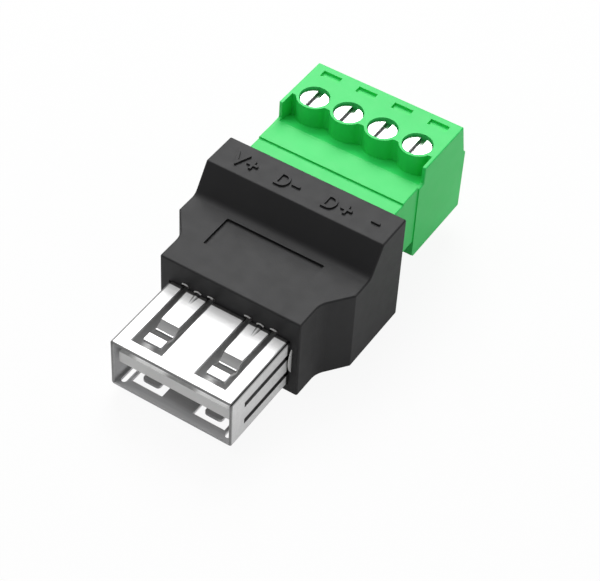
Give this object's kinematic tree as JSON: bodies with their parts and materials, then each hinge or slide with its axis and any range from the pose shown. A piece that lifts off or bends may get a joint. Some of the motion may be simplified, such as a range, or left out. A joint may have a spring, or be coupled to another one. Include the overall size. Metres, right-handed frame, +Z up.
{
  "type": "usb terminal block adapter",
  "caption": "Adapter from a flat USB socket to a pull-out screw terminal plug, in a flared black housing with a raised rear deck.",
  "frame": {"origin": "middle of the width and length, on the housing's flat underside", "axes": "+X across the width, +Y from the USB mouth to the wire entries, +Z up out of the screw heads"},
  "size_m": [0.0194, 0.0374, 0.0132],
  "materials": {
    "housing": "fine satin moulding",
    "plug_green": "smooth satin moulding",
    "shell_metal": "bright tin-plated sheet",
    "insulator": "pale matt moulding",
    "contact_metal": "gold-flashed strip",
    "board": "satin solder resist",
    "carrier": "matt moulding",
    "pin_metal": "tin-plated",
    "clamp_metal": "nickel-plated",
    "screw_steel": "zinc-plated"
  },
  "bodies": {
    "adapter": {"housing": "housing", "usb_shell": "shell_metal", "usb_insulator": "insulator", "circuit_board": "board", "pin_carrier": "carrier", "usb_contact_1": "contact_metal", "usb_contact_2": "contact_metal", "usb_contact_3": "contact_metal", "usb_contact_4": "contact_metal", "header_pin_1": "pin_metal", "header_pin_2": "pin_metal", "header_pin_3": "pin_metal", "header_pin_4": "pin_metal"},
    "plug": {"plug_body": "plug_green", "plug_nose": "plug_green", "socket_contact_1": "pin_metal", "socket_contact_2": "pin_metal", "socket_contact_3": "pin_metal", "socket_contact_4": "pin_metal"},
    "screw_1": {"clamp_screw_1": "screw_steel"},
    "cage_1": {"clamp_cage_1": "clamp_metal"},
    "screw_2": {"clamp_screw_2": "screw_steel"},
    "cage_2": {"clamp_cage_2": "clamp_metal"},
    "screw_3": {"clamp_screw_3": "screw_steel"},
    "cage_3": {"clamp_cage_3": "clamp_metal"},
    "screw_4": {"clamp_screw_4": "screw_steel"},
    "cage_4": {"clamp_cage_4": "clamp_metal"}
  },
  "joints": [
    {"name": "plug_pull", "type": "slide", "parent": "adapter", "child": "plug", "axis": [0, 1, 0], "range_m": [0, 0.012]},
    {"name": "screw_turn_1", "type": "hinge", "parent": "plug", "child": "screw_1", "pos_m": [-0.00571, 0.01298, 0.012], "axis": [0, 0, 1], "range_deg": [-1531, 0]},
    {"name": "cage_rise_1", "type": "slide", "parent": "plug", "child": "cage_1", "axis": [0, 0, 1], "range_m": [0, 0.0017]},
    {"name": "screw_turn_2", "type": "hinge", "parent": "plug", "child": "screw_2", "pos_m": [-0.00191, 0.01298, 0.012], "axis": [0, 0, 1], "range_deg": [-1531, 0]},
    {"name": "cage_rise_2", "type": "slide", "parent": "plug", "child": "cage_2", "axis": [0, 0, 1], "range_m": [0, 0.0017]},
    {"name": "screw_turn_3", "type": "hinge", "parent": "plug", "child": "screw_3", "pos_m": [0.00191, 0.01298, 0.012], "axis": [0, 0, 1], "range_deg": [-1531, 0]},
    {"name": "cage_rise_3", "type": "slide", "parent": "plug", "child": "cage_3", "axis": [0, 0, 1], "range_m": [0, 0.0017]},
    {"name": "screw_turn_4", "type": "hinge", "parent": "plug", "child": "screw_4", "pos_m": [0.00571, 0.01298, 0.012], "axis": [0, 0, 1], "range_deg": [-1531, 0]},
    {"name": "cage_rise_4", "type": "slide", "parent": "plug", "child": "cage_4", "axis": [0, 0, 1], "range_m": [0, 0.0017]}
  ],
  "couplings": [
    {"joint": "screw_turn_1", "follows": "cage_rise_1", "rad_per_m": -15708},
    {"joint": "screw_turn_2", "follows": "cage_rise_2", "rad_per_m": -15708},
    {"joint": "screw_turn_3", "follows": "cage_rise_3", "rad_per_m": -15708},
    {"joint": "screw_turn_4", "follows": "cage_rise_4", "rad_per_m": -15708}
  ]
}
